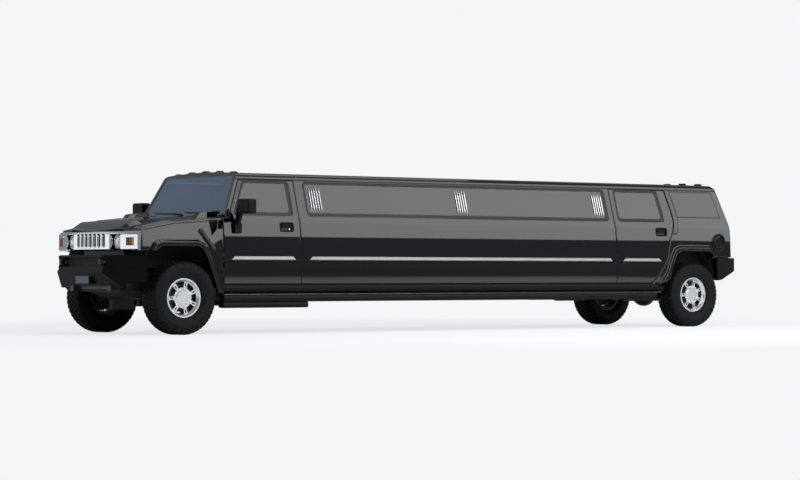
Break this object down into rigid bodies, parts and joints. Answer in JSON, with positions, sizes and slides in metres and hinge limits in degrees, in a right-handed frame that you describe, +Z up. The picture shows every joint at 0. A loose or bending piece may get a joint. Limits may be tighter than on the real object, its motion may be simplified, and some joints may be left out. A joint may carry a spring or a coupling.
{
  "type": "stretch limousine",
  "caption": "Stretch limousine on an off-road car's body: chrome slotted grille, tall flat sides, long tinted windows, side doors, liftgate and alloy wheels.",
  "frame": {"origin": "on the ground, at the middle of the overall length and of the width", "axes": "+X forward, +Y to the car's left, +Z up"},
  "size_m": [9.901, 2.638, 1.982],
  "materials": {
    "body_paint": "gloss black paint",
    "chrome": "bright chrome",
    "black_plastic": "grained black plastic",
    "tinted_glass": "dark tinted glass",
    "clear_glass": "lightly tinted laminated glass",
    "lamp_glass": "clear lens",
    "amber_lens": "amber lens",
    "red_lens": "red lens",
    "tyre_rubber": "black rubber",
    "wheel_alloy": "polished cast alloy",
    "frame_paint": "satin black frame paint",
    "forged_steel": "black coated forging",
    "board_metal": "satin black coating",
    "cast_iron": "raw casting",
    "steel_tube": "dull steel tube",
    "cabin_plastic": "grained dark plastic",
    "leather": "dark leather"
  },
  "bodies": {
    "body": {"chassis_frame": "frame_paint", "floor_pan": "frame_paint", "rockers": "black_plastic", "side_panels": "body_paint", "quarter_panels": "body_paint", "front_fenders": "body_paint", "wheel_liners": "black_plastic", "roof_panel": "body_paint", "cowl": "body_paint", "windscreen": "clear_glass", "grille_shell": "chrome", "headlamps": "lamp_glass", "marker_lamps": "amber_lens", "tail_lamps": "red_lens", "radiator_support": "frame_paint", "front_bumper": "black_plastic", "tow_loops": "forged_steel", "skid_plate": "frame_paint", "rear_bumper": "black_plastic", "running_boards": "board_metal", "engine": "cast_iron", "front_suspension": "frame_paint", "rear_axle": "frame_paint", "driveshaft": "steel_tube", "exhaust": "steel_tube", "fuel_tank": "frame_paint", "dashboard": "cabin_plastic", "seats": "leather", "side_glass": "tinted_glass"},
    "hood": {"hood": "body_paint"},
    "liftgate": {"liftgate": "body_paint", "liftgate_glass": "tinted_glass"},
    "door_front_left": {"door_front_left": "body_paint", "glass_front_left": "tinted_glass", "mirror_left": "black_plastic"},
    "door_front_right": {"door_front_right": "body_paint", "glass_front_right": "tinted_glass", "mirror_right": "black_plastic"},
    "door_rear_left": {"door_rear_left": "body_paint", "glass_rear_left": "tinted_glass"},
    "door_rear_right": {"door_rear_right": "body_paint", "glass_rear_right": "tinted_glass"},
    "fuel_lid": {"fuel_lid": "body_paint"},
    "knuckle_left": {"knuckle_left": "cast_iron"},
    "knuckle_right": {"knuckle_right": "cast_iron"},
    "wheel_front_left": {"rim_front_left": "wheel_alloy", "tyre_front_left": "tyre_rubber"},
    "wheel_front_right": {"rim_front_right": "wheel_alloy", "tyre_front_right": "tyre_rubber"},
    "wheel_rear_left": {"rim_rear_left": "wheel_alloy", "tyre_rear_left": "tyre_rubber"},
    "wheel_rear_right": {"rim_rear_right": "wheel_alloy", "tyre_rear_right": "tyre_rubber"}
  },
  "joints": [
    {"name": "hood_hinge", "type": "hinge", "parent": "body", "child": "hood", "pos_m": [4.7505, 0, 1.22], "axis": [0, 1, 0], "range_deg": [0, 60]},
    {"name": "liftgate_hinge", "type": "hinge", "parent": "body", "child": "liftgate", "pos_m": [-4.67488, 0, 1.88], "axis": [0, 1, 0], "range_deg": [0, 85]},
    {"name": "fuel_lid_hinge", "type": "hinge", "parent": "body", "child": "fuel_lid", "pos_m": [-4.4855, 1.005, 1.155], "axis": [0, 0, -1], "range_deg": [0, 90]},
    {"name": "door_front_left_hinge", "type": "hinge", "parent": "body", "child": "door_front_left", "pos_m": [3.5535, 1.0003, 0.74], "axis": [0, 0, -1], "range_deg": [0, 68]},
    {"name": "door_front_right_hinge", "type": "hinge", "parent": "body", "child": "door_front_right", "pos_m": [3.5535, -1.0003, 0.74], "axis": [0, 0, 1], "range_deg": [0, 68]},
    {"name": "door_rear_left_hinge", "type": "hinge", "parent": "body", "child": "door_rear_left", "pos_m": [-2.6975, 1.0003, 0.74], "axis": [0, 0, -1], "range_deg": [0, 68]},
    {"name": "door_rear_right_hinge", "type": "hinge", "parent": "body", "child": "door_rear_right", "pos_m": [-2.6975, -1.0003, 0.74], "axis": [0, 0, 1], "range_deg": [0, 68]},
    {"name": "steer_left", "type": "hinge", "parent": "body", "child": "knuckle_left", "pos_m": [4.1145, 0.8, 0.4365], "axis": [0, 0, 1], "range_deg": [-33, 33]},
    {"name": "steer_right", "type": "hinge", "parent": "body", "child": "knuckle_right", "pos_m": [4.1145, -0.8, 0.4365], "axis": [0, 0, 1], "range_deg": [-33, 33]},
    {"name": "spin_front_left", "type": "hinge", "parent": "knuckle_left", "child": "wheel_front_left", "pos_m": [4.1145, 0.8815, 0.4365], "axis": [0, 1, 0], "continuous": true},
    {"name": "spin_front_right", "type": "hinge", "parent": "knuckle_right", "child": "wheel_front_right", "pos_m": [4.1145, -0.8815, 0.4365], "axis": [0, 1, 0], "continuous": true},
    {"name": "spin_rear_left", "type": "hinge", "parent": "body", "child": "wheel_rear_left", "pos_m": [-4.0845, 0.8815, 0.4365], "axis": [0, 1, 0], "continuous": true},
    {"name": "spin_rear_right", "type": "hinge", "parent": "body", "child": "wheel_rear_right", "pos_m": [-4.0845, -0.8815, 0.4365], "axis": [0, 1, 0], "continuous": true}
  ],
  "couplings": [
    {"joint": "steer_right", "follows": "steer_left", "ratio": 1}
  ]
}
